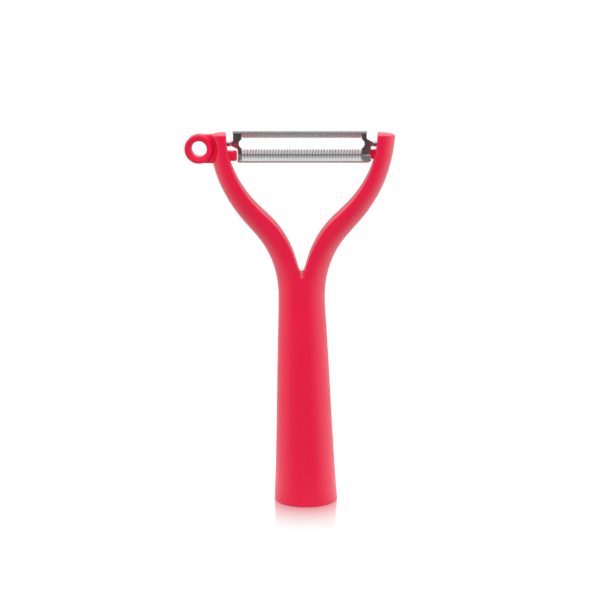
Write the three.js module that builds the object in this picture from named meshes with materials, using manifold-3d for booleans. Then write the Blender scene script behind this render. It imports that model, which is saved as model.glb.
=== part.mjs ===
// Y-shaped swivel peeler with an eye ring. Millimetres, +Z up, +X to the right
// of a user who holds the grip below the blade, -Y towards that user.
// The origin is on the plane of the foot, under the symmetry plane of the yoke.
import * as THREE from 'three';
import { mergeVertices } from 'three/addons/utils/BufferGeometryUtils.js';
import Module from 'manifold-3d';

// ---- driving dimensions (mm, degrees) -------------------------------------
const HANDLE_TOP = 164.6;        // height of the flat tops of the two arms
const YOKE_HALF_DEPTH = 10.3;    // half depth (Y) of the arms and the crotch
const GRIP_LEAN = 1.92;          // X offset of the foot centre, fades out upwards
const GRIP_LEAN_TOP = 92;        // height where the lean has faded out
const CROTCH_Z = 102.9;          // bottom of the gap between the arms
const GAP_MID = 0.65;            // share of the gap's front taper that is left at mid depth

const RING_X = -44.5, RING_Z = 158.15, RING_R = 6.27, RING_HOLE_R = 3.43;
const RING_HALF_DEPTH = 4.5;     // the ring tube, about y = 0
const WEB_HALF_DEPTH = 3.1;      // the thinner web between ring and arm
const WEB_HALF_HEIGHT = 6.15;
const SCOOP_R = 8.2;             // relief cut into the arm, concentric with the ring

const PIVOT_Y = 4.0, PIVOT_Z = 159.9;      // the swivel axis, parallel to X
const SOCKET_R = 1.5, SOCKET_TIP_X = 36.7; // blind sockets in the arms
const TANG_R = 1.2, TANG_TIP_X = 36.3, TANG_ROOT_X = 30.6;
const NECK_HALF = 0.9;                     // half height of the flat neck of a tang

const BLADE_T = 0.87;                      // thickness of the strip
const FLAT_HALF = 4.67;                    // half width of its flat middle
const BEND_R = 0.7, BEND_ANGLE = 79;       // mid-surface radius and angle of the two bends
const FLANK = 6.34;                        // straight flank beyond each bend
const SLOT_HALF = 2.5;                     // middle to slot edge
const BLADE_PITCH = 8.0;                   // the flat middle looks back and this far up
const UPPER_JAW = [-30.0, 28.3];           // X ends of the jaws (staggered)
const LOWER_JAW = [-27.9, 30.25];
const SLOT_END_X = 27.4;
const TEETH = 42, TOOTH_PITCH = 1.243, TOOTH_DEPTH = 0.62;

const LUG_TOP = -2.7, LUG_BOTTOM = -6.8;   // below the swivel axis
const LUG_FACE = 1.4;                      // stop face, distance from the axis plane
const LEFT_LUG = { tip: -28.2, far: 8.0 };   // in front of the axis
const RIGHT_LUG = { tip: 28.9, far: 5.2 };   // behind the axis

const CORE_R0 = 11.5, CORE_R1 = 9.4, CORE_TOP_R = 6.2, CORE_TOP = 78, CORE_STEP = 3.4;
const PLUG_GAP = 0.3, PLUG_FLANGE = 3.0, PLUG_SPIGOT = 9.0;

// height, half width of the outer outline
const OUTER = [[0, 14.15], [3.4, 14.02], [8.2, 13.73], [17.5, 13.2], [26.9, 12.79], [36.2, 12.37],
  [45.4, 12.05], [54.6, 11.73], [63.8, 11.39], [72.9, 11.01], [82, 10.65], [91, 10.22], [95.5, 10.2],
  [100, 10.62], [104.5, 11.53], [108.9, 12.95], [113.4, 14.91], [117.8, 17.66], [122.2, 21.33],
  [126.7, 25.47], [131.1, 28.98], [135.5, 31.83], [139.9, 34.26], [144.2, 36.21], [148.6, 37.73],
  [153.8, 39.11], [159.1, 40.05], [164.6, 40.5]];
// height, half width of the gap between the arms at its back edge
const INNER = [[102.9, 0], [103.0, 0.55], [103.4, 0.95], [105, 1.59], [107.2, 2.12], [109.5, 2.84],
  [111.8, 3.62], [114, 4.58], [116.3, 5.67], [118.5, 6.91], [120.8, 8.29], [123, 9.89], [125.3, 11.75],
  [127.5, 13.84], [129.7, 16.19], [132, 18.66], [134.2, 20.85], [136.4, 22.86], [138.7, 24.58],
  [140.9, 26.11], [143.1, 27.49], [145.3, 28.69], [147.6, 29.76], [149.3, 30.52], [151.1, 31.15],
  [154, 32.1], [157, 32.8], [160, 33.25], [164.6, 33.5]];
// height, how much narrower the gap is at its front edge, per side
const TAPER = [[102.9, 0.12], [110, 0.25], [118, 0.45], [128, 0.85], [164.6, 0.9]];

// ---- helpers ---------------------------------------------------------------
const wasm = await Module();
wasm.setup();
const rad = Math.PI / 180;

function table(rows, z) {
  if (z <= rows[0][0]) return rows[0][1];
  for (let i = 1; i < rows.length; i++) {
    const [z0, v0] = rows[i - 1], [z1, v1] = rows[i];
    if (z <= z1) return v0 + (v1 - v0) * (z - z0) / (z1 - z0);
  }
  return rows[rows.length - 1][1];
}

function solid(geometry) {
  const g = geometry.clone();
  for (const name of Object.keys(g.attributes)) if (name !== 'position') g.deleteAttribute(name);
  const m = mergeVertices(g, 1e-4);
  return new wasm.Manifold(new wasm.Mesh({
    numProp: 3,
    vertProperties: new Float32Array(m.attributes.position.array),
    triVerts: new Uint32Array(m.index.array),
  }));
}

function geometryOf(manifold) {
  const m = manifold.getMesh();
  const g = new THREE.BufferGeometry();
  g.setAttribute('position', new THREE.BufferAttribute(new Float32Array(m.vertProperties), 3));
  g.setIndex(new THREE.BufferAttribute(new Uint32Array(m.triVerts), 1));
  g.computeVertexNormals();
  return g;
}

// closed skin through equal rings of points, with flat fans at both ends
function loft(rings) {
  const n = rings[0].length, pos = [], idx = [];
  for (const ring of rings) for (const p of ring) pos.push(p[0], p[1], p[2]);
  for (let k = 0; k + 1 < rings.length; k++) {
    for (let i = 0; i < n; i++) {
      const a = k * n + i, b = k * n + (i + 1) % n;
      idx.push(a, b, b + n, a, b + n, a + n);
    }
  }
  for (const [k, flip] of [[0, true], [rings.length - 1, false]]) {
    const c = [0, 0, 0];
    for (const p of rings[k]) for (let j = 0; j < 3; j++) c[j] += p[j] / n;
    const ci = pos.length / 3;
    pos.push(...c);
    for (let i = 0; i < n; i++) {
      const a = k * n + i, b = k * n + (i + 1) % n;
      if (flip) idx.push(ci, b, a); else idx.push(ci, a, b);
    }
  }
  const g = new THREE.BufferGeometry();
  g.setAttribute('position', new THREE.Float32BufferAttribute(pos, 3));
  g.setIndex(idx);
  return g;
}

function box(x0, x1, y0, y1, z0, z1) {
  const g = new THREE.BoxGeometry(x1 - x0, y1 - y0, z1 - z0);
  g.translate((x0 + x1) / 2, (y0 + y1) / 2, (z0 + z1) / 2);
  return g;
}

// cylinder along X or Y between two stations
function rod(axis, r, a, b, u, v, segments = 32) {
  const g = new THREE.CylinderGeometry(r, r, b - a, segments);
  if (axis === 'x') { g.rotateZ(-Math.PI / 2); g.translate((a + b) / 2, u, v); }
  else { g.translate(u, (a + b) / 2, v); }
  return g;
}

// ---- handle ----------------------------------------------------------------
const lean = (z) => {
  const t = Math.min(1, Math.max(0, 1 - z / GRIP_LEAN_TOP));
  return GRIP_LEAN * t;
};
const halfDepth = (z) => {
  const a = table(OUTER, z);
  if (z <= 91) return a;
  const t = Math.min(1, (z - 91) / 12);
  return 10.22 + (YOKE_HALF_DEPTH - 10.22) * t;
};

// one cross-section: two half ellipses whose centres are spread by the gap
function section(z, inset = 0) {
  const out = [], spread = table(INNER, z);
  const a = table(OUTER, z) - spread - inset, b = halfDepth(z) - inset;
  const N = 16;
  for (const side of [1, -1]) {
    for (let i = 0; i < N; i++) {
      const t = (-90 + 180 * (i + 0.5) / N) * rad;
      out.push([lean(z) + side * (spread + a * Math.cos(t)), side * b * Math.sin(t), z]);
    }
  }
  return out;
}
const stations = [0.6, 8.2, 17.5, 32, 45.4, 60, 74, 86, 92, 96, 100, 103, 106, 109, 112, 115, 118,
  121, 124, 127, 130, 133, 136, 139, 142, 145, 148, 151, 154, 157, 160, 163.6];
const skin = [section(0, 0.5), ...stations.map((z) => section(z)), section(HANDLE_TOP, 0.9)];

// the gap between the arms, tapering towards the front in two steps
function gapOutline(share, y) {
  const rows = INNER.filter((r, i) => i > 0 && (i % 2 === 1 || r[0] < 104 || r[0] > 160));
  const pts = [];
  for (const [z, w] of rows) pts.push([w - share * table(TAPER, z), y, z]);
  pts.push([33.55 - share * table(TAPER, 164.6), y, HANDLE_TOP + 6]);
  const left = pts.map(([x, yy, z]) => [-x, yy, z]).reverse();
  return [...pts, ...left];
}
function prism(loops) {
  const n = loops[0].length;
  const pos = loops.flat(2), idx = [];
  for (let k = 0; k + 1 < loops.length; k++) {
    for (let i = 0; i < n; i++) {
      const a = k * n + i, b = k * n + (i + 1) % n;
      idx.push(a, b + n, b, a, a + n, b + n);
    }
  }
  const contour = loops[0].map((p) => new THREE.Vector2(p[0], p[2]));
  for (const f of THREE.ShapeUtils.triangulateShape(contour, [])) {
    idx.push(f[0], f[1], f[2]);
    const k = (loops.length - 1) * n;
    idx.push(k + f[0], k + f[2], k + f[1]);
  }
  const g = new THREE.BufferGeometry();
  g.setAttribute('position', new THREE.Float32BufferAttribute(pos, 3));
  g.setIndex(idx);
  return g;
}
const gap = prism([gapOutline(1, -16), gapOutline(1, -YOKE_HALF_DEPTH), gapOutline(GAP_MID, 0),
  gapOutline(0, YOKE_HALF_DEPTH), gapOutline(0, 16)]);

let body = solid(loft(skin)).subtract(solid(gap));

// relief round the ring, then web and ring
body = body
  .subtract(solid(rod('y', SCOOP_R, -14, -WEB_HALF_DEPTH, RING_X, RING_Z, 48)))
  .subtract(solid(rod('y', SCOOP_R, WEB_HALF_DEPTH, 14, RING_X, RING_Z, 48)));
body = body
  .add(solid(box(RING_X, -35.6, -WEB_HALF_DEPTH, WEB_HALF_DEPTH,
    RING_Z - WEB_HALF_HEIGHT, RING_Z + WEB_HALF_HEIGHT)))
  .add(solid(rod('y', RING_R, -RING_HALF_DEPTH, RING_HALF_DEPTH, RING_X, RING_Z, 48)));
body = body.subtract(solid(rod('y', RING_HOLE_R, -8, 8, RING_X, RING_Z, 32)));

// stop lugs
const lugRoot = 35;
body = body
  .add(solid(box(-lugRoot, LEFT_LUG.tip, PIVOT_Y - LEFT_LUG.far, PIVOT_Y - LUG_FACE,
    PIVOT_Z + LUG_BOTTOM, PIVOT_Z + LUG_TOP)))
  .add(solid(box(RIGHT_LUG.tip, lugRoot, PIVOT_Y + LUG_FACE, PIVOT_Y + RIGHT_LUG.far,
    PIVOT_Z + LUG_BOTTOM, PIVOT_Z + LUG_TOP)));

// pivot sockets
body = body
  .subtract(solid(rod('x', SOCKET_R, -SOCKET_TIP_X, -30.5, PIVOT_Y, PIVOT_Z, 24)))
  .subtract(solid(rod('x', SOCKET_R, 30.5, SOCKET_TIP_X, PIVOT_Y, PIVOT_Z, 24)));

// hollow core of the grip, open at the foot, with a seat for the plug
const core = new THREE.LatheGeometry([
  [0, -2], [CORE_R0, -2], [CORE_R0, CORE_STEP], [CORE_R1, CORE_STEP], [CORE_R1, 12],
  [CORE_TOP_R + 0.6, CORE_TOP - 6], [CORE_TOP_R - 1.6, CORE_TOP - 1.5], [0, CORE_TOP],
].map((p) => new THREE.Vector2(...p)), 32);
core.rotateX(Math.PI / 2);
// the core follows the leaning centre line of the grip
{
  const p = core.attributes.position;
  for (let i = 0; i < p.count; i++) p.setX(i, p.getX(i) + lean(Math.max(0, p.getZ(i))));
}
body = body.subtract(solid(core));

// ---- foot plug -------------------------------------------------------------
const plug = new THREE.LatheGeometry([
  [0, 0], [CORE_R0 - PLUG_GAP - 0.4, 0], [CORE_R0 - PLUG_GAP, 0.4], [CORE_R0 - PLUG_GAP, PLUG_FLANGE],
  [CORE_R1 - PLUG_GAP, PLUG_FLANGE], [CORE_R1 - PLUG_GAP, PLUG_SPIGOT], [0, PLUG_SPIGOT],
].map((p) => new THREE.Vector2(...p)), 48);
plug.rotateX(Math.PI / 2);
{
  const p = plug.attributes.position;
  for (let i = 0; i < p.count; i++) p.setX(i, p.getX(i) + lean(p.getZ(i)));
}

// ---- blade -----------------------------------------------------------------
// The strip is a channel: a flat middle with the slot, two bends and two flanks.
// Local frame: x along the blade, v out of the flat middle (away from the hollow), w up.
const LIP_S = FLAT_HALF + BEND_R * BEND_ANGLE * rad + FLANK;

// mid-surface point and normal [v, w, nv, nw] at the developed distance s from the middle
function sheet(s) {
  const a = Math.abs(s), k = Math.sign(s) || 1;
  if (a <= FLAT_HALF) return [0, s, 1, 0];
  const t = Math.min((a - FLAT_HALF) / BEND_R, BEND_ANGLE * rad);
  const rest = Math.max(0, a - FLAT_HALF - BEND_R * BEND_ANGLE * rad);
  const v = -BEND_R * (1 - Math.cos(t)) - rest * Math.sin(t);
  const w = FLAT_HALF + BEND_R * Math.sin(t) + rest * Math.cos(t);
  return [v, k * w, Math.cos(t), k * Math.sin(t)];
}

// a bent side of the strip between two developed distances of the same sign
function flankBar(x0, x1, s0, s1) {
  const stops = [s0], steps = 6, k = Math.sign(s1);
  for (let i = 0; i <= steps; i++) stops.push(k * (FLAT_HALF + BEND_R * BEND_ANGLE * rad * i / steps));
  stops.push(s1);
  const s = new THREE.Shape(), h = BLADE_T / 2;
  stops.forEach((q, i) => {
    const [v, w, nv, nw] = sheet(q);
    if (i === 0) s.moveTo(v + nv * h, w + nw * h); else s.lineTo(v + nv * h, w + nw * h);
  });
  for (const q of stops.reverse()) {
    const [v, w, nv, nw] = sheet(q);
    s.lineTo(v - nv * h, w - nw * h);
  }
  s.closePath();
  const g = new THREE.ExtrudeGeometry(s, { depth: x1 - x0, bevelEnabled: false, steps: 1 });
  // shape x -> v (y), shape y -> w (z), depth -> x
  g.applyMatrix4(new THREE.Matrix4().makeBasis(
    new THREE.Vector3(0, 1, 0), new THREE.Vector3(0, 0, 1), new THREE.Vector3(1, 0, 0)));
  g.translate(x0, 0, 0);
  return g;
}

// the flat middle, with the necks of the tangs, and the slot with its pointed teeth
const flat = new THREE.Shape();
const NECK_X = TANG_ROOT_X + 0.4;
[[UPPER_JAW[0], FLAT_HALF], [-30.0, 1.1], [-NECK_X, NECK_HALF], [-NECK_X, -NECK_HALF], [-30.7, -NECK_HALF],
  [-28.2, -2.2], [LOWER_JAW[0], -3.0], [LOWER_JAW[0], -FLAT_HALF], [LOWER_JAW[1], -FLAT_HALF],
  [LOWER_JAW[1], -1.1], [NECK_X, -NECK_HALF], [NECK_X, NECK_HALF], [30.7, NECK_HALF], [28.6, 2.2],
  [UPPER_JAW[1], 3.0], [UPPER_JAW[1], FLAT_HALF],
].forEach(([x, w], i) => (i === 0 ? flat.moveTo(x, w) : flat.lineTo(x, w)));
flat.closePath();
const slot = new THREE.Path(), T = TOOTH_PITCH * TEETH / 2;
const edge = [];
for (let i = 0; i < TEETH; i++) {
  const c = -T + TOOTH_PITCH * (i + 0.5), w = TOOTH_PITCH * 0.4;
  edge.push([c - w, SLOT_HALF], [c, SLOT_HALF + TOOTH_DEPTH], [c + w, SLOT_HALF]);
}
const roundEnd = (k) => [-70, -35, 0, 35, 70].map((q) => [
  k * (SLOT_END_X - 2.2 + 2.2 * Math.cos(q * rad)), 2.2 * Math.sin(q * rad)]);
const loop = [...edge, ...roundEnd(1).reverse(), ...edge.map(([x, w]) => [x, -w]).reverse(), ...roundEnd(-1)];
loop.forEach(([x, w], i) => (i === 0 ? slot.moveTo(x, w) : slot.lineTo(x, w)));
slot.closePath();
flat.holes.push(slot);
const middle = new THREE.ExtrudeGeometry(flat, { depth: BLADE_T, bevelEnabled: false, steps: 1 });
// shape x -> x, shape y -> w (z), depth -> -v
middle.rotateX(Math.PI / 2);
middle.translate(0, BLADE_T / 2, 0);

let strip = solid(middle)
  .add(solid(flankBar(UPPER_JAW[0], UPPER_JAW[1], FLAT_HALF - 0.3, LIP_S)))
  .add(solid(flankBar(LOWER_JAW[0], LOWER_JAW[1], -(FLAT_HALF - 0.3), -LIP_S)));
// the rolled tangs
for (const [c, d] of [[-TANG_TIP_X, -TANG_ROOT_X], [TANG_ROOT_X, TANG_TIP_X]]) {
  strip = strip.add(solid(rod('x', TANG_R, c, d, 0, 0, 20)));
}

// ---- scene graph -----------------------------------------------------------
const red = { color: new THREE.Color().setRGB(0.75, 0.012, 0.05), roughness: 0.28, metalness: 0.0 };
const group = new THREE.Group();

const handle = new THREE.Mesh(geometryOf(body), new THREE.MeshStandardMaterial({ ...red }));
handle.name = 'handle_body';
group.add(handle);

const plugSolid = geometryOf(solid(plug));
const foot = new THREE.Mesh(plugSolid, new THREE.MeshStandardMaterial({ ...red, roughness: 0.35 }));
foot.name = 'foot_plug';
group.add(foot);

// the blade turns about the middle of its flat
const swivel = new THREE.Group();
swivel.position.set(0, PIVOT_Y, PIVOT_Z);
swivel.rotation.x = BLADE_PITCH * rad;
const bladeGeometry = geometryOf(strip);
const blade = new THREE.Mesh(bladeGeometry, new THREE.MeshStandardMaterial({
  color: 0xb9bcc0, roughness: 0.25, metalness: 1.0 }));
blade.name = 'blade';
swivel.add(blade);
group.add(swivel);

export default group;
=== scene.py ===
import math

import bpy
import numpy as np
from mathutils import Matrix, Vector


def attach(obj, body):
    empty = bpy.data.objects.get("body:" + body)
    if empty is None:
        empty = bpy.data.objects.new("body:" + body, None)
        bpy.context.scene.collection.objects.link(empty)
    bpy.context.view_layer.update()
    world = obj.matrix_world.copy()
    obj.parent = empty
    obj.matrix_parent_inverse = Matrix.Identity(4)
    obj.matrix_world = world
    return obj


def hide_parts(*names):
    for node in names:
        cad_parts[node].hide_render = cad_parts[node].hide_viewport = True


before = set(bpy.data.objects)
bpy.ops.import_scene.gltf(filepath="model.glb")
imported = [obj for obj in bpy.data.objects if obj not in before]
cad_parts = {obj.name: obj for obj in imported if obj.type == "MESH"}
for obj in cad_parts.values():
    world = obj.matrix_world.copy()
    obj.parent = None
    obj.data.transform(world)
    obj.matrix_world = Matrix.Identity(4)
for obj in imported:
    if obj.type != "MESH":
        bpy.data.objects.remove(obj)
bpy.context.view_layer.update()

MM = 0.001

# ---------------------------------------------------------------- dimensions (mm)
HANDLE_TOP = 164.6
YOKE_HALF_DEPTH = 10.3
GRIP_LEAN, GRIP_LEAN_TOP = 1.92, 92.0
CROTCH_Z = 102.8
GAP_MID = 0.65
RING_X, RING_Z, RING_R, RING_HOLE_R = -44.5, 158.15, 6.27, 3.43
RING_HALF_DEPTH, WEB_HALF_DEPTH, WEB_HALF_HEIGHT, SCOOP_R = 4.5, 3.1, 6.15, 8.2
PIVOT_Y, PIVOT_Z = 4.0, 159.9
SOCKET_R, SOCKET_TIP_X = 1.5, 36.7
TANG_R, TANG_TIP_X, TANG_ROOT_X = 1.2, 36.25, 31.0
BLADE_T = 0.87
FLAT_HALF, BEND_R, BEND_ANGLE, FLANK = 4.67, 0.7, math.radians(79), 6.34
BLADE_PITCH = math.radians(8.0)
LIP_S = FLAT_HALF + BEND_R * BEND_ANGLE + FLANK
TEETH, TOOTH_PITCH = 42, 1.243
CORE_R0, CORE_R1, CORE_STEP = 11.5, 9.4, 3.4

OUTER = np.array([[-6, 14.5], [0, 14.15], [3.4, 14.0], [8.2, 13.73], [17.5, 13.2], [26.9, 12.79], [36.2, 12.37],
    [45.4, 12.05], [54.6, 11.73], [63.8, 11.39], [72.9, 11.01], [82, 10.62], [88, 10.30], [92, 10.18], [95.5, 10.22],
    [100, 10.62], [104.5, 11.53], [108.9, 12.95], [113.4, 14.91], [117.8, 17.66], [122.2, 21.33],
    [126.7, 25.47], [131.1, 28.98], [135.5, 31.83], [139.9, 34.26], [144.2, 36.21], [148.6, 37.73],
    [153.8, 39.11], [159.1, 40.05], [164.6, 40.55], [172, 40.9]])
# half width of the gap at its back edge, and how much narrower it is at its front edge
INNER = np.array([[60, -6], [98, -1.5], [101, -0.2], [103.4, 0.98], [105, 1.58], [107.2, 2.12], [109.5, 2.84],
    [111.8, 3.62], [114, 4.58], [116.3, 5.67], [118.5, 6.91], [120.8, 8.29], [123, 9.89], [125.3, 11.75],
    [127.5, 13.84], [129.7, 16.19], [132, 18.66], [134.2, 20.85], [136.4, 22.86], [138.7, 24.58],
    [140.9, 26.11], [143.1, 27.49], [145.3, 28.69], [147.6, 29.76], [149.3, 30.52], [151.1, 31.15],
    [154, 32.1], [157, 32.8], [160, 33.2], [164.6, 33.45], [172, 33.6]])
TAPER = np.array([[60, 0.0], [102, 0.10], [110, 0.25], [118, 0.45], [128, 0.85], [164.6, 0.9], [172, 0.9]])


def smooth_table(rows, sigma, step=0.05):
    """A dense, gently smoothed curve through the rows: (heights, values, slopes)."""
    z = np.arange(rows[0, 0], rows[-1, 0], step)
    v = np.interp(z, rows[:, 0], rows[:, 1])
    n = int(4 * sigma / step)
    k = np.exp(-0.5 * (np.arange(-n, n + 1) * step / sigma) ** 2)
    k /= k.sum()
    lo = v[0] - (v[1] - v[0]) * np.arange(n, 0, -1)
    hi = v[-1] + (v[-1] - v[-2]) * np.arange(1, n + 1)
    v = np.convolve(np.concatenate([lo, v, hi]), k, "valid")
    return z, v, np.gradient(v, step)


OZ, OV, OD = smooth_table(OUTER, 2.0)
IZ, IV, ID = smooth_table(INNER, 1.3)
TZ, TV, TD = smooth_table(TAPER, 2.5)
# the flat part of a section: zero in the grip, then the width of the gap
env_rows = np.array([[z, max(0.0, v)] for z, v in INNER])
EZ, EV, ED = smooth_table(env_rows, 2.4)
EV = np.maximum(EV, 0.0)


def rmax(a, b, r):
    """Intersection of two fields with a round edge of radius r."""
    return np.minimum(np.maximum(a, b), -r) + np.hypot(np.maximum(a + r, 0), np.maximum(b + r, 0))


def rmin(a, b, r):
    return -rmax(-a, -b, r)


def smooth01(t):
    t = np.clip(t, 0, 1)
    return t * t * (3 - 2 * t)


def handle_field(x, y, z):
    """Signed distance, in mm, to the red moulding: negative inside."""
    lean = GRIP_LEAN * np.clip(1 - z / GRIP_LEAN_TOP, 0, 1.2)
    dx = x - lean
    ax = np.abs(dx)
    s = np.interp(z, EZ, EV)
    sd = np.interp(z, EZ, ED)
    xo = np.interp(z, OZ, OV)
    xod = np.interp(z, OZ, OD)
    t = smooth01((z - 88) / 14)
    b = np.where(z < 102, xo * (1 - t) + YOKE_HALF_DEPTH * t, YOKE_HALF_DEPTH)
    bd = xod * (1 - t)
    p = 2.0 + 0.35 * smooth01((z - 100) / 25)
    x1 = np.maximum(ax - s, 0)
    a = np.maximum(xo - s, 1.0)
    ux, uy = x1 / a, np.abs(y) / b
    q = np.maximum((ux ** p + uy ** p) ** (1 / p), 0.2)
    gx = (ux / q) ** (p - 1) / a
    gy = (uy / q) ** (p - 1) / b
    gz = -(gx * (sd + ux * (xod - sd)) + gy * uy * bd)
    env = (q - 1) / np.sqrt(gx * gx + gy * gy + gz * gz + 1e-9)

    # the gap between the arms: round bottom, tapering to the front in two steps
    ty = np.clip(y / YOKE_HALF_DEPTH, -1.3, 1.3)
    share = np.where(ty < 0, GAP_MID - (1 - GAP_MID) * ty, GAP_MID * (1 - ty))
    xi = np.interp(z, IZ, IV) - share * np.interp(z, TZ, TV)
    xid = np.interp(z, IZ, ID)
    wall = (np.abs(x) - xi) / np.sqrt(1 + xid * xid)
    gap = rmax(wall, CROTCH_Z - z, 0.7)
    f = rmax(env, -gap, 0.5)

    # flat tops that fall very slightly outwards, and the flat foot
    top = z - (HANDLE_TOP - 0.05 * np.maximum(np.abs(x) - 34, 0))
    f = rmax(f, top, 0.55)
    f = rmax(f, -z, 0.2)

    # relief round the ring, web and ring
    r2 = np.hypot(x - RING_X, z - RING_Z)
    scoop = np.maximum(r2 - SCOOP_R, WEB_HALF_DEPTH - np.abs(y))
    near = x < -30
    f = np.where(near, rmax(f, -scoop, 0.8), f)
    wx = np.maximum(RING_X - x, x + 35.4)
    web = rmax(rmax(np.abs(z - RING_Z) - WEB_HALF_HEIGHT, np.abs(y) - WEB_HALF_DEPTH, 0.5), wx, 0.2)
    f = np.where(near, rmin(f, web, 0.35), f)
    # the ring's faces are lightly dished towards the hole
    dish = 0.55 * smooth01((RING_R - 0.7 - r2) / (RING_R - RING_HOLE_R - 0.3))
    ring = rmax(r2 - RING_R, np.abs(y) - RING_HALF_DEPTH + dish, 0.9)
    f = np.where(near, rmin(f, ring, 0.3), f)
    hole = r2 - RING_HOLE_R
    f = np.where(near, rmax(f, -hole, 0.35), f)

    # stop lugs
    def block(x0, x1, y0, y1, z0, z1, r):
        bx = np.abs(x - (x0 + x1) / 2) - (x1 - x0) / 2 + r
        by = np.abs(y - (y0 + y1) / 2) - (y1 - y0) / 2 + r
        bz = np.abs(z - (z0 + z1) / 2) - (z1 - z0) / 2 + r
        m = np.maximum(bx, np.maximum(by, bz))
        return np.minimum(m, 0) + np.sqrt(np.maximum(bx, 0) ** 2 + np.maximum(by, 0) ** 2 + np.maximum(bz, 0) ** 2) - r
    zl, zh = PIVOT_Z - 6.8, PIVOT_Z - 2.7
    left = block(-36.0, -28.2, PIVOT_Y - 8.0, PIVOT_Y - 1.4, zl, zh, 0.45)
    right = block(28.9, 36.0, PIVOT_Y + 1.4, PIVOT_Y + 5.2, zl, zh, 0.45)
    high = z > 145
    f = np.where(high, rmin(f, left, 0.4), f)
    f = np.where(high, rmin(f, right, 0.4), f)

    # pivot sockets
    rp = np.hypot(y - PIVOT_Y, z - PIVOT_Z)
    sock = np.maximum(rp - SOCKET_R, np.maximum(30.5 - np.abs(x), np.abs(x) - SOCKET_TIP_X))
    f = np.where(high, rmax(f, -sock, 0.25), f)

    # seat for the plug in the foot
    rc = np.hypot(dx, y)
    seat = np.maximum(rc - CORE_R0, z - CORE_STEP)
    bore = np.maximum(rc - CORE_R1, z - 12.0)
    low = z < 16
    f = np.where(low, rmax(f, -np.minimum(seat, bore), 0.2), f)

    # plain round gate mark low on the front
    rg = np.hypot(dx, z - 6.4)
    dimple = 0.12 * smooth01((1.85 - rg) / 0.25) + 0.15 * np.exp(-((rg - 1.85) / 0.20) ** 2)
    f = np.where((y < 0) & low, f + dimple, f)
    return f


def nets(field, lo, hi, h, newton=3):
    """A smooth quad skin on field = 0, each point moved onto the surface along the gradient."""
    lo, hi = np.array(lo, float), np.array(hi, float)
    n = np.ceil((hi - lo) / h).astype(int) + 1
    xs, ys, zs = [lo[i] + h * np.arange(n[i]) for i in range(3)]
    F = np.empty(tuple(n), np.float32)
    step = 24
    for k in range(0, n[2], step):
        X, Y, Z = np.meshgrid(xs, ys, zs[k:k + step], indexing="ij")
        F[:, :, k:k + step] = field(X, Y, Z)
    inside = F < 0
    total = np.zeros((3,) + tuple(n - 1), np.float32)
    count = np.zeros(tuple(n - 1), np.uint8)
    quads = []
    ids = None
    crossings = []
    for ax in range(3):
        a = [slice(None)] * 3; b = [slice(None)] * 3
        a[ax] = slice(0, -1); b[ax] = slice(1, None)
        cross = inside[tuple(a)] != inside[tuple(b)]
        idx = np.argwhere(cross)
        fa = F[tuple(a)][cross]; fb = F[tuple(b)][cross]
        t = fa / (fa - fb)
        pos = idx.astype(np.float32)
        pos[:, ax] += t
        flip = fa < 0
        crossings.append((ax, idx, flip))
        o1, o2 = [(1, 2), (2, 0), (0, 1)][ax]
        for d1 in (0, 1):
            for d2 in (0, 1):
                c = idx.copy()
                c[:, o1] -= d1; c[:, o2] -= d2
                ok = (c >= 0).all(1) & (c < n - 1).all(1)
                ci = tuple(c[ok].T)
                for m in range(3):
                    np.add.at(total[m], ci, pos[ok, m])
                np.add.at(count, ci, 1)
    used = count > 0
    ids = np.full(used.shape, -1, np.int64)
    ids[used] = np.arange(used.sum())
    P = np.stack([total[m][used] / count[used] for m in range(3)], 1).astype(np.float64) * h + lo
    for ax, idx, flip in crossings:
        o1, o2 = [(1, 2), (2, 0), (0, 1)][ax]
        ok = (idx[:, o1] > 0) & (idx[:, o2] > 0) & (idx[:, o1] < n[o1] - 1) & (idx[:, o2] < n[o2] - 1)
        idx, fl = idx[ok], flip[ok]
        def cell(d1, d2):
            c = idx.copy(); c[:, o1] -= d1; c[:, o2] -= d2
            return ids[tuple(c.T)]
        q = np.stack([cell(1, 1), cell(0, 1), cell(0, 0), cell(1, 0)], 1)
        q[~fl] = q[~fl][:, ::-1]
        quads.append(q)
    Q = np.concatenate(quads)
    e = 0.02
    start = P.copy()
    for _ in range(newton):
        f, g = field(*P.T), gradient(field, P, e)
        P -= (f / np.maximum((g * g).sum(1), 0.1))[:, None] * g
        move = P - start
        far = np.linalg.norm(move, axis=1) / (0.9 * h)
        P = start + move / np.maximum(far, 1)[:, None]
    N = gradient(field, P, e)
    N /= np.maximum(np.linalg.norm(N, axis=1), 1e-6)[:, None]
    return P, Q, N


def gradient(field, P, e=0.02):
    g = np.empty_like(P)
    for m in range(3):
        d = np.zeros(3); d[m] = e
        g[:, m] = (field(*(P + d).T) - field(*(P - d).T)) / (2 * e)
    return g


def mesh_object(name, verts_mm, faces, material, normals=None, smooth=True):
    me = bpy.data.meshes.new(name)
    me.from_pydata((np.asarray(verts_mm) * MM).tolist(), [], [list(map(int, q)) for q in faces])
    me.validate()
    me.update()
    if smooth:
        me.polygons.foreach_set("use_smooth", np.ones(len(me.polygons), bool))
    if normals is not None:
        me.normals_split_custom_set_from_vertices(normals.tolist())
    me.materials.append(material)
    ob = bpy.data.objects.new(name, me)
    bpy.context.scene.collection.objects.link(ob)
    return ob


# ---------------------------------------------------------------- materials
def new_material(name):
    m = bpy.data.materials.new(name)
    m.use_nodes = True
    nt = m.node_tree
    return m, nt, nt.nodes["Principled BSDF"]


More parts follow.
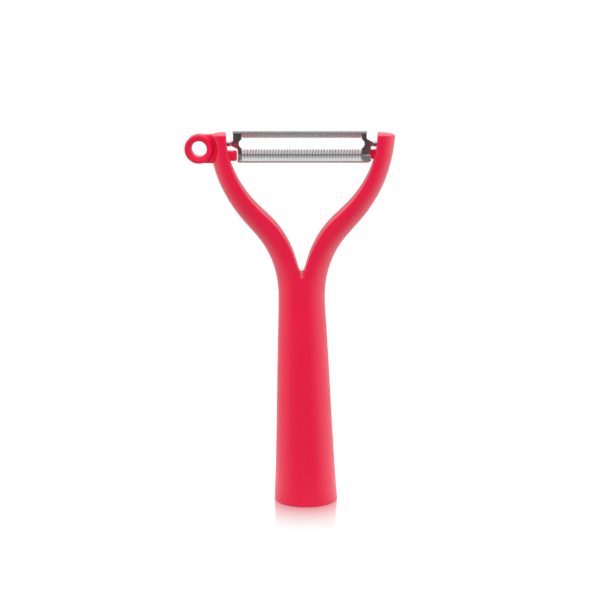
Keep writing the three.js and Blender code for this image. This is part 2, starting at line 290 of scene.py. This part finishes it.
def noise(nt, coord, scale, detail=3.0, rough=0.5, vec_scale=None):
    if vec_scale is not None:
        mp = nt.nodes.new("ShaderNodeMapping")
        mp.inputs["Scale"].default_value = vec_scale
        nt.links.new(coord, mp.inputs["Vector"])
        coord = mp.outputs["Vector"]
    n = nt.nodes.new("ShaderNodeTexNoise")
    n.inputs["Scale"].default_value = scale
    n.inputs["Detail"].default_value = detail
    n.inputs["Roughness"].default_value = rough
    nt.links.new(coord, n.inputs["Vector"])
    return n


def ramp(nt, fac, lo, hi, a=0.35, b=0.65):
    r = nt.nodes.new("ShaderNodeMapRange")
    r.inputs["From Min"].default_value = a
    r.inputs["From Max"].default_value = b
    r.inputs["To Min"].default_value = lo
    r.inputs["To Max"].default_value = hi
    nt.links.new(fac, r.inputs["Value"])
    return r.outputs["Result"]


def red_plastic(name, base, rough_lo, rough_hi, bump):
    m, nt, p = new_material(name)
    tc = nt.nodes.new("ShaderNodeTexCoord")
    obj = tc.outputs["Object"]
    # very faint colour flow of the pigment
    flow = noise(nt, obj, 55.0, 4.0, 0.55)
    mix = nt.nodes.new("ShaderNodeMix")
    mix.data_type = "RGBA"
    mix.inputs["A"].default_value = (*[c * 0.965 for c in base], 1)
    mix.inputs["B"].default_value = (*[min(1, c * 1.035) for c in base], 1)
    nt.links.new(flow.outputs["Fac"], mix.inputs["Factor"])
    nt.links.new(mix.outputs["Result"], p.inputs["Base Color"])
    # gloss that varies slightly, as handled plastic does
    patch = noise(nt, obj, 130.0, 3.0, 0.6)
    nt.links.new(ramp(nt, patch.outputs["Fac"], rough_lo, rough_hi), p.inputs["Roughness"])
    # very light orange peel of the mould
    peel = noise(nt, obj, 330.0, 1.0, 0.4)
    b1 = nt.nodes.new("ShaderNodeBump")
    b1.inputs["Strength"].default_value = bump
    b1.inputs["Distance"].default_value = 0.00003
    nt.links.new(peel.outputs["Fac"], b1.inputs["Height"])
    nt.links.new(b1.outputs["Normal"], p.inputs["Normal"])
    p.inputs["IOR"].default_value = 1.49
    return m


def steel(name, dark, light, rough_lo, rough_hi, metal=1.0):
    m, nt, p = new_material(name)
    tc = nt.nodes.new("ShaderNodeTexCoord")
    obj = tc.outputs["Object"]
    p.inputs["Metallic"].default_value = metal
    lines = noise(nt, obj, 900.0, 4.0, 0.6, (0.04, 1.0, 1.0))
    cloud = noise(nt, obj, 120.0, 3.0, 0.5)
    mix = nt.nodes.new("ShaderNodeMix")
    mix.data_type = "RGBA"
    mix.inputs["A"].default_value = (*dark, 1)
    mix.inputs["B"].default_value = (*light, 1)
    nt.links.new(lines.outputs["Fac"], mix.inputs["Factor"])
    nt.links.new(mix.outputs["Result"], p.inputs["Base Color"])
    nt.links.new(ramp(nt, cloud.outputs["Fac"], rough_lo, rough_hi), p.inputs["Roughness"])
    b = nt.nodes.new("ShaderNodeBump")
    b.inputs["Strength"].default_value = 0.12
    b.inputs["Distance"].default_value = 0.000005
    nt.links.new(lines.outputs["Fac"], b.inputs["Height"])
    nt.links.new(b.outputs["Normal"], p.inputs["Normal"])
    return m


RED = red_plastic("red_plastic", (0.80, 0.0065, 0.052), 0.31, 0.38, 0.12)
RED_PLUG = red_plastic("red_plastic_plug", (0.72, 0.008, 0.046), 0.30, 0.42, 0.5)
STEEL = steel("blade_steel", (0.62, 0.63, 0.64), (0.72, 0.73, 0.74), 0.17, 0.23)
# ground and sheared faces are frosted: their fine scratches scatter light as a matt surface does
GROUND = steel("blade_steel_ground", (0.88, 0.89, 0.90), (0.94, 0.95, 0.96), 0.50, 0.58, 0.35)
SHEARED = steel("blade_steel_sheared", (0.74, 0.75, 0.76), (0.82, 0.83, 0.84), 0.42, 0.50, 0.80)

# ---------------------------------------------------------------- handle
H = 0.36
P, Q, N = nets(handle_field, (-52.0, -15.4, -0.8), (42.4, 15.4, 165.8), H)
handle = mesh_object("handle_moulding", P, Q, RED, N)
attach(handle, "handle")
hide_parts("handle_body")

# ---------------------------------------------------------------- foot plug
def lathe(profile, segments, centre):
    verts, faces = [], []
    n = len(profile)
    for i in range(segments):
        t = 2 * math.pi * i / segments
        for r, z in profile[1:-1]:
            cx, cy = centre(z)
            verts.append((cx + r * math.cos(t), cy + r * math.sin(t), z))
    m = n - 2
    for i in range(segments):
        j = (i + 1) % segments
        for k in range(m - 1):
            faces.append((i * m + k, j * m + k, j * m + k + 1, i * m + k + 1))
    c0 = len(verts); cx, cy = centre(profile[0][1]); verts.append((cx, cy, profile[0][1]))
    c1 = len(verts); cx, cy = centre(profile[-1][1]); verts.append((cx, cy, profile[-1][1]))
    for i in range(segments):
        j = (i + 1) % segments
        faces.append((c0, j * m, i * m))
        faces.append((c1, i * m + m - 1, j * m + m - 1))
    return verts, faces


rp = CORE_R0 - 0.12
profile = [(0, 0), (6.5, 0), (6.62, 0.03), (6.7, 0.22), (6.9, 0.3), (7.3, 0.3), (7.5, 0.22), (7.58, 0.03), (7.7, 0),
           (rp - 0.45, 0), (rp - 0.2, 0.05), (rp - 0.06, 0.16), (rp, 0.36), (rp, 2.75), (rp - 0.25, 3.0),
           (CORE_R1 - 0.15, 3.0), (CORE_R1 - 0.15, 8.6), (CORE_R1 - 0.55, 9.0), (0, 9.0)]
v, f = lathe(profile, 128, lambda z: (GRIP_LEAN * (1 - z / GRIP_LEAN_TOP), 0.0))
plug = mesh_object("foot_plug_cap", v, f, RED_PLUG, smooth=True)
mod = plug.modifiers.new("wn", "WEIGHTED_NORMAL")
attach(plug, "handle")
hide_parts("foot_plug")

# ---------------------------------------------------------------- blade
def arc(cx, cy, r, a0, a1, n):
    return [(cx + r * math.cos(math.radians(a0 + (a1 - a0) * i / n)),
             cy + r * math.sin(math.radians(a0 + (a1 - a0) * i / n))) for i in range(n + 1)]


def fillet(points, n=8):
    """A closed outline from (x, y, corner radius) rows, going round once."""
    out = []
    m = len(points)
    for i in range(m):
        x0, y0, _ = points[i - 1]; x1, y1, r = points[i]; x2, y2, _ = points[(i + 1) % m]
        if r <= 0:
            out.append((x1, y1)); continue
        u = np.array([x0 - x1, y0 - y1]); w = np.array([x2 - x1, y2 - y1])
        lu, lw = np.linalg.norm(u), np.linalg.norm(w)
        u, w = u / lu, w / lw
        ang = math.acos(np.clip(np.dot(u, w), -1, 1))
        d = min(r / math.tan(ang / 2), lu * 0.49, lw * 0.49)
        r = d * math.tan(ang / 2)
        c = np.array([x1, y1]) + (u + w) / np.linalg.norm(u + w) * (r / math.sin(ang / 2))
        p, q = np.array([x1, y1]) + u * d, np.array([x1, y1]) + w * d
        a0 = math.atan2(*(p - c)[::-1]); a1 = math.atan2(*(q - c)[::-1])
        da = (a1 - a0 + math.pi) % (2 * math.pi) - math.pi
        out += [(c[0] + r * math.cos(a0 + da * k / n), c[1] + r * math.sin(a0 + da * k / n)) for k in range(n + 1)]
    return np.array(out)


# flat pattern of the strip: x along the blade, s across it (0 in the middle)
PLATE = fillet([
    (-30.0, LIP_S + 0.5, 0), (-30.0, 0.95, 1.1), (-31.6, 0.85, 0), (-31.6, -0.85, 0), (-30.9, -0.9, 0.4),
    (-28.0, -2.35, 0.7), (-27.9, -LIP_S - 0.5, 0),
    (30.25, -LIP_S - 0.5, 0), (30.25, -0.95, 0.7), (31.6, -0.85, 0), (31.6, 0.85, 0), (30.9, 0.9, 0.4),
    (28.3, 2.35, 0.7), (28.3, LIP_S + 0.5, 0)])
SLOT_HALF = 2.5
slot_end = 25.3
SLOT = np.array(
    [(26.1, SLOT_HALF), (-26.1, SLOT_HALF)] + arc(-slot_end, 0, 2.2, 112, 248, 24)
    + [(-26.1, -SLOT_HALF), (26.1, -SLOT_HALF)] + arc(slot_end, 0, 2.2, -68, 68, 24))


def polygon_table(poly, xs, ys):
    """Signed distance to a closed outline on a grid, negative inside."""
    X, Y = np.meshgrid(xs, ys, indexing="ij")
    d = np.full(X.shape, 1e9)
    inside = np.zeros(X.shape, bool)
    a = poly; b = np.roll(poly, -1, 0)
    for (x0, y0), (x1, y1) in zip(a, b):
        ex, ey = x1 - x0, y1 - y0
        L = ex * ex + ey * ey
        if L < 1e-12:
            continue
        t = np.clip(((X - x0) * ex + (Y - y0) * ey) / L, 0, 1)
        d = np.minimum(d, (X - x0 - t * ex) ** 2 + (Y - y0 - t * ey) ** 2)
        if y0 != y1:
            hit = ((Y >= min(y0, y1)) & (Y < max(y0, y1)) & (X < x0 + (Y - y0) / (y1 - y0) * ex))
            inside ^= hit
    d = np.sqrt(d)
    return np.where(inside, -d, d)


TS = 0.1
tx = np.arange(-33, 33 + TS, TS); ty = np.arange(-13.4, 13.4 + TS, TS)
T_PLATE = np.maximum(polygon_table(PLATE, tx, ty), -polygon_table(SLOT, tx, ty))


def lookup(table, x, y):
    fx = np.clip((x - tx[0]) / TS, 0, len(tx) - 1.001); fy = np.clip((y - ty[0]) / TS, 0, len(ty) - 1.001)
    i, j = fx.astype(int), fy.astype(int)
    u, v = fx - i, fy - j
    return ((table[i, j] * (1 - u) + table[i + 1, j] * u) * (1 - v)
            + (table[i, j + 1] * (1 - u) + table[i + 1, j + 1] * u) * v)


FLUTE_LEN = 2.2
HALF_ROW = TEETH * TOOTH_PITCH / 2


def blade_field(x, s, n):
    lip = np.abs(s) - LIP_S
    f = lookup(T_PLATE, x, s)
    up = s > 0
    radius_l = np.where(up, 0.7, 0.9); radius_r = np.where(up, 0.3, 2.7)
    end_l = np.where(up, -30.0, -27.9) - x
    end_r = x - np.where(up, 28.3, 30.25)
    ends = np.maximum(end_l, end_r)
    radius = np.where(end_l > end_r, radius_l, radius_r)
    f = np.where(np.abs(s) > 5.5, rmax(lip, ends, radius), f)
    # sheared edges: crisp on the hollow side, rolled over on the crown side
    roll = np.where(s < -5.5, 0.32, 0.10)
    f = np.where(n > 0, rmax(f, n - BLADE_T / 2, roll), rmax(f, -n - BLADE_T / 2, 0.08))
    # ground facet beside the slot, on the hollow side, and one pointed flute per tooth
    tau = (np.abs(s) - SLOT_HALF) / FLUTE_LEN
    lean = x - 0.12 * (np.abs(s) - SLOT_HALF) * np.sign(s)
    row_end = HALF_ROW + 0.35 - 0.45 * np.clip(tau, 0, 1) - np.abs(x)
    facet = np.minimum(0.58 * (1 - tau), row_end * 1.1)
    u = np.abs(np.mod(lean + HALF_ROW, TOOTH_PITCH) - TOOTH_PITCH / 2)
    depth, slope = np.where(up, FLUTE_D[0], FLUTE_D[1]), np.where(up, FLUTE_K[0], FLUTE_K[1])
    flute = facet + depth * (1 - 0.75 * np.clip(tau, 0, 1)) - slope * np.maximum(u - 0.06, 0)
    flute = np.where((row_end > 0.3) & (tau < 1.02), flute, -1.0)
    cut = np.maximum(facet, np.minimum(flute, 1.5 * (1.08 - tau)))
    cut = np.where((tau < 1.08) & (cut > 0), cut, np.minimum(cut, 0) - 0.02)
    return np.maximum(f, (-BLADE_T / 2 + cut - n) * 0.75)


# depth and side slope of a flute, in the upper and in the lower row
FLUTE_D, FLUTE_K = (0.32, 0.48), (0.46, 0.84)


def bend(P, N=None):
    x, s, n = P.T
    k = np.sign(s)
    a = np.abs(s)
    t = np.clip((a - FLAT_HALF) / BEND_R, 0, BEND_ANGLE)
    rest = np.maximum(a - FLAT_HALF - BEND_R * BEND_ANGLE, 0)
    ct, st = np.cos(t), np.sin(t)
    v = -BEND_R * (1 - ct) - rest * st + n * ct
    w = k * (np.minimum(a, FLAT_HALF) + BEND_R * st + rest * ct + n * st)
    cm, sm = math.cos(BLADE_PITCH), math.sin(BLADE_PITCH)
    out = np.stack([x, PIVOT_Y + v * cm - w * sm, PIVOT_Z + v * sm + w * cm], 1)
    if N is None:
        return out
    nx, ns, nn = N.T
    ns = ns * k
    nv, nw = nn * ct - ns * st, k * (nn * st + ns * ct)
    return out, np.stack([nx, nv * cm - nw * sm, nv * sm + nw * cm], 1)


HB = 0.11
P, Q, N = nets(blade_field, (-32.0, -12.8, -0.62), (32.0, 12.8, 0.62), HB, newton=4)
P2, N2 = bend(P, N)
# the bend takes (x, s, n) to (x, up, back), which mirrors it, so the faces are turned round
blade = mesh_object("blade_strip", P2, Q[:, ::-1], STEEL, N2)
# the ground faces of the flutes
blade.data.materials.append(GROUND)
blade.data.materials.append(SHEARED)
C, CN = P[Q].mean(1), N[Q].mean(1)
d = np.abs(C[:, 1]) - SLOT_HALF
ground = (d < FLUTE_LEN * 0.92) & (d > -0.05) & (np.abs(C[:, 0]) < HALF_ROW + 0.5) & (CN[:, 2] < -0.2) & (
    C[:, 2] > -BLADE_T / 2 + 0.012)
# in the lower row the ridges between the flutes keep the duller face of the sheet
across = np.abs(np.mod(C[:, 0] + 0.12 * d + HALF_ROW, TOOTH_PITCH) - TOOTH_PITCH / 2)
ridge = ground & (C[:, 1] < 0) & (across > 0.40)
sheared = ridge | ((np.abs(C[:, 1]) > LIP_S - 0.10) & (np.abs(CN[:, 1]) > 0.5))
blade.data.polygons.foreach_set("material_index", np.where(sheared, 2, ground.astype(int)).astype(np.int32))


# rolled tangs: a tube with a seam, rounded at the tip
def tang_field(x, y, z):
    r = np.hypot(y - PIVOT_Y, z - PIVOT_Z)
    ax = np.abs(x)
    f = rmax(r - TANG_R, np.maximum(TANG_ROOT_X - ax, ax - TANG_TIP_X), 0.3)
    seam = np.maximum(np.abs(z - PIVOT_Z - 0.35) - 0.07, PIVOT_Y - y)
    f = rmax(f, -seam, 0.08)
    return rmax(f, -np.maximum(r - 0.32, 34.5 - ax), 0.08)


HT = 0.11
tangs = []
for name, x0, x1 in (("tang_left", -36.6, -30.6), ("tang_right", 30.6, 36.6)):
    P, Q, N = nets(tang_field, (x0, PIVOT_Y - 1.5, PIVOT_Z - 1.5), (x1, PIVOT_Y + 1.5, PIVOT_Z + 1.5), HT)
    ob = mesh_object(name, P, Q, STEEL, N)
    tangs.append(ob)

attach(blade, "blade")
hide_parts("blade")
for ob in tangs:
    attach(ob, "blade")

# ---------------------------------------------------------------- floor
def math_node(nt, op, a, b=None, c=None, clamp=False):
    n = nt.nodes.new("ShaderNodeMath")
    n.operation = op
    n.use_clamp = clamp
    for i, v in enumerate((a, b, c)):
        if v is None:
            continue
        if isinstance(v, (int, float)):
            n.inputs[i].default_value = v
        else:
            nt.links.new(v, n.inputs[i])
    return n.outputs[0]


def map_range(nt, v, a, b, lo, hi, kind="SMOOTHSTEP"):
    r = nt.nodes.new("ShaderNodeMapRange")
    r.interpolation_type = kind
    r.inputs["From Min"].default_value = a
    r.inputs["From Max"].default_value = b
    r.inputs["To Min"].default_value = lo
    r.inputs["To Max"].default_value = hi
    nt.links.new(v, r.inputs["Value"])
    return r.outputs["Result"]


def surroundings(nt, x, y, ray):
    """Brightness round the horizon: dark behind the viewer's side (-Y), a large panel on +X
    that shows in reflections, and an even wash for the matt part of the light."""
    side = map_range(nt, y, -0.88, 0.05, 0.08, 0.88)
    panel = math_node(nt, "MULTIPLY", map_range(nt, x, 0.45, 0.98, 0.0, 0.62), ray.outputs["Is Glossy Ray"])
    wash = math_node(nt, "MULTIPLY", ray.outputs["Is Diffuse Ray"], WASH)
    return math_node(nt, "ADD", math_node(nt, "MULTIPLY", side, math_node(nt, "ADD", wash, 1.0)), panel)


WASH = 0.30


# a white lit table: it glows softly, mirrors the foot close by, and its front lies in the dark
floor_mat = bpy.data.materials.new("floor_white")
floor_mat.use_nodes = True
if hasattr(floor_mat, "cycles"):
    floor_mat.cycles.emission_sampling = "NONE"
nt = floor_mat.node_tree
nt.nodes.clear()
geo = nt.nodes.new("ShaderNodeNewGeometry")
sep = nt.nodes.new("ShaderNodeSeparateXYZ")
nt.links.new(geo.outputs["Position"], sep.inputs[0])
px = math_node(nt, "SUBTRACT", sep.outputs["X"], GRIP_LEAN * MM)
py = sep.outputs["Y"]
r = math_node(nt, "SQRT", math_node(nt, "ADD", math_node(nt, "MULTIPLY", px, px), math_node(nt, "MULTIPLY", py, py)))
away = map_range(nt, r, 0.0141, 0.053, 1.0, 0.0, "LINEAR")
near_foot = math_node(nt, "MULTIPLY", math_node(nt, "POWER", away, 1.9), 0.74)
rs = math_node(nt, "ADD", r, 0.004)
lp = nt.nodes.new("ShaderNodeLightPath")
horizon = surroundings(nt, math_node(nt, "DIVIDE", px, rs), math_node(nt, "DIVIDE", py, rs), lp)
glow = math_node(nt, "ADD", horizon, map_range(nt, r, 0.02, 0.13, 0.40, 0.0))
# the matt part of the light also gets the white table's bounce
glow = math_node(nt, "MAXIMUM", glow, math_node(nt, "MULTIPLY", lp.outputs["Is Diffuse Ray"], 0.45))
em = nt.nodes.new("ShaderNodeEmission")
em.inputs["Color"].default_value = (1, 1, 1, 1)
# what the camera sees is plain white; what the object mirrors falls off to the front
strength = math_node(nt, "MAXIMUM", glow, math_node(nt, "MULTIPLY", lp.outputs["Is Camera Ray"], 1.02))
nt.links.new(strength, em.inputs["Strength"])
gl = nt.nodes.new("ShaderNodeBsdfGlossy")
gl.inputs["Color"].default_value = (1, 1, 1, 1)
gl.inputs["Roughness"].default_value = 0.10
mx = nt.nodes.new("ShaderNodeMixShader")
nt.links.new(near_foot, mx.inputs["Fac"])
nt.links.new(em.outputs[0], mx.inputs[1])
nt.links.new(gl.outputs[0], mx.inputs[2])
out = nt.nodes.new("ShaderNodeOutputMaterial")
nt.links.new(mx.outputs[0], out.inputs["Surface"])
me = bpy.data.meshes.new("floor")
S = 1.2
me.from_pydata([(-S, -S, 0), (S, -S, 0), (S, S, 0), (-S, S, 0)], [], [(0, 1, 2, 3)])
me.materials.append(floor_mat)
floor = bpy.data.objects.new("floor", me)
bpy.context.scene.collection.objects.link(floor)

# ---------------------------------------------------------------- light
scene = bpy.context.scene
world = bpy.data.worlds.new("studio")
scene.world = world
world.use_nodes = True
if hasattr(world, "cycles"):
    world.cycles.sampling_method = "NONE"
wt = world.node_tree
bg = wt.nodes["Background"]
tc = wt.nodes.new("ShaderNodeTexCoord")
ws = wt.nodes.new("ShaderNodeSeparateXYZ")
wt.links.new(tc.outputs["Generated"], ws.inputs[0])
# a white tent: dark on the viewer's side, dimmer low at the back, with a bright roof
wl = wt.nodes.new("ShaderNodeLightPath")
horizon = surroundings(wt, ws.outputs["X"], ws.outputs["Y"], wl)
back = map_range(wt, ws.outputs["Y"], 0.80, 0.98, 0.0, 0.55)
low = map_range(wt, ws.outputs["Z"], 0.08, 0.22, 1.0, 0.0)
horizon = math_node(wt, "MULTIPLY", horizon, math_node(wt, "SUBTRACT", 1.0, math_node(wt, "MULTIPLY", back, low)))
up = map_range(wt, ws.outputs["Z"], 0.25, 0.90, 0.0, 1.0)
down = math_node(wt, "SUBTRACT", 1.0, up)
tent = math_node(wt, "ADD", math_node(wt, "MULTIPLY", horizon, down), math_node(wt, "MULTIPLY", up, 1.05))
glint = math_node(wt, "MULTIPLY", map_range(wt, ws.outputs["Y"], 0.80, 0.92, 0.0, 0.14), map_range(wt, ws.outputs["Z"], 0.15, 0.27, 0.0, 1.0))
tent = math_node(wt, "ADD", tent, glint)
light = math_node(wt, "ADD", math_node(wt, "MULTIPLY", tent, math_node(wt, "SUBTRACT", 1.0, wl.outputs["Is Camera Ray"])),
                  math_node(wt, "MULTIPLY", wl.outputs["Is Camera Ray"], 1.02))
wt.links.new(light, bg.inputs["Strength"])
bg.inputs["Color"].default_value = (1, 1, 1, 1)


def softbox(name, loc, aim, size, watts, color=(1, 1, 1)):
    d = bpy.data.lights.new(name, "AREA")
    d.shape = "RECTANGLE"
    d.size, d.size_y = size
    d.energy = watts
    d.color = color
    o = bpy.data.objects.new(name, d)
    o.location = loc
    o.rotation_euler = (Vector(aim) - Vector(loc)).to_track_quat("-Z", "Y").to_euler()
    o.visible_glossy = False
    scene.collection.objects.link(o)
    return o


# soft fill from the front, kept out of the mirror-like reflections
softbox("key_top_front", (-0.05, -0.80, 0.70), (0, 0, 0.08), (1.0, 0.8), 8.0)

# ---------------------------------------------------------------- camera
cam_data = bpy.data.cameras.new("camera")
cam_data.sensor_width = 36.0
cam_data.lens = 1540.0 / 600.0 * 36.0
cam_data.clip_start = 0.01
cam_data.clip_end = 50
cam = bpy.data.objects.new("camera", cam_data)
cam.location = (-0.75 * MM, -670 * MM, 216 * MM)
cam.rotation_euler = (math.radians(90 - 10.55), 0, 0)
scene.collection.objects.link(cam)
scene.camera = cam

scene.view_settings.view_transform = "Standard"
scene.view_settings.look = "None"
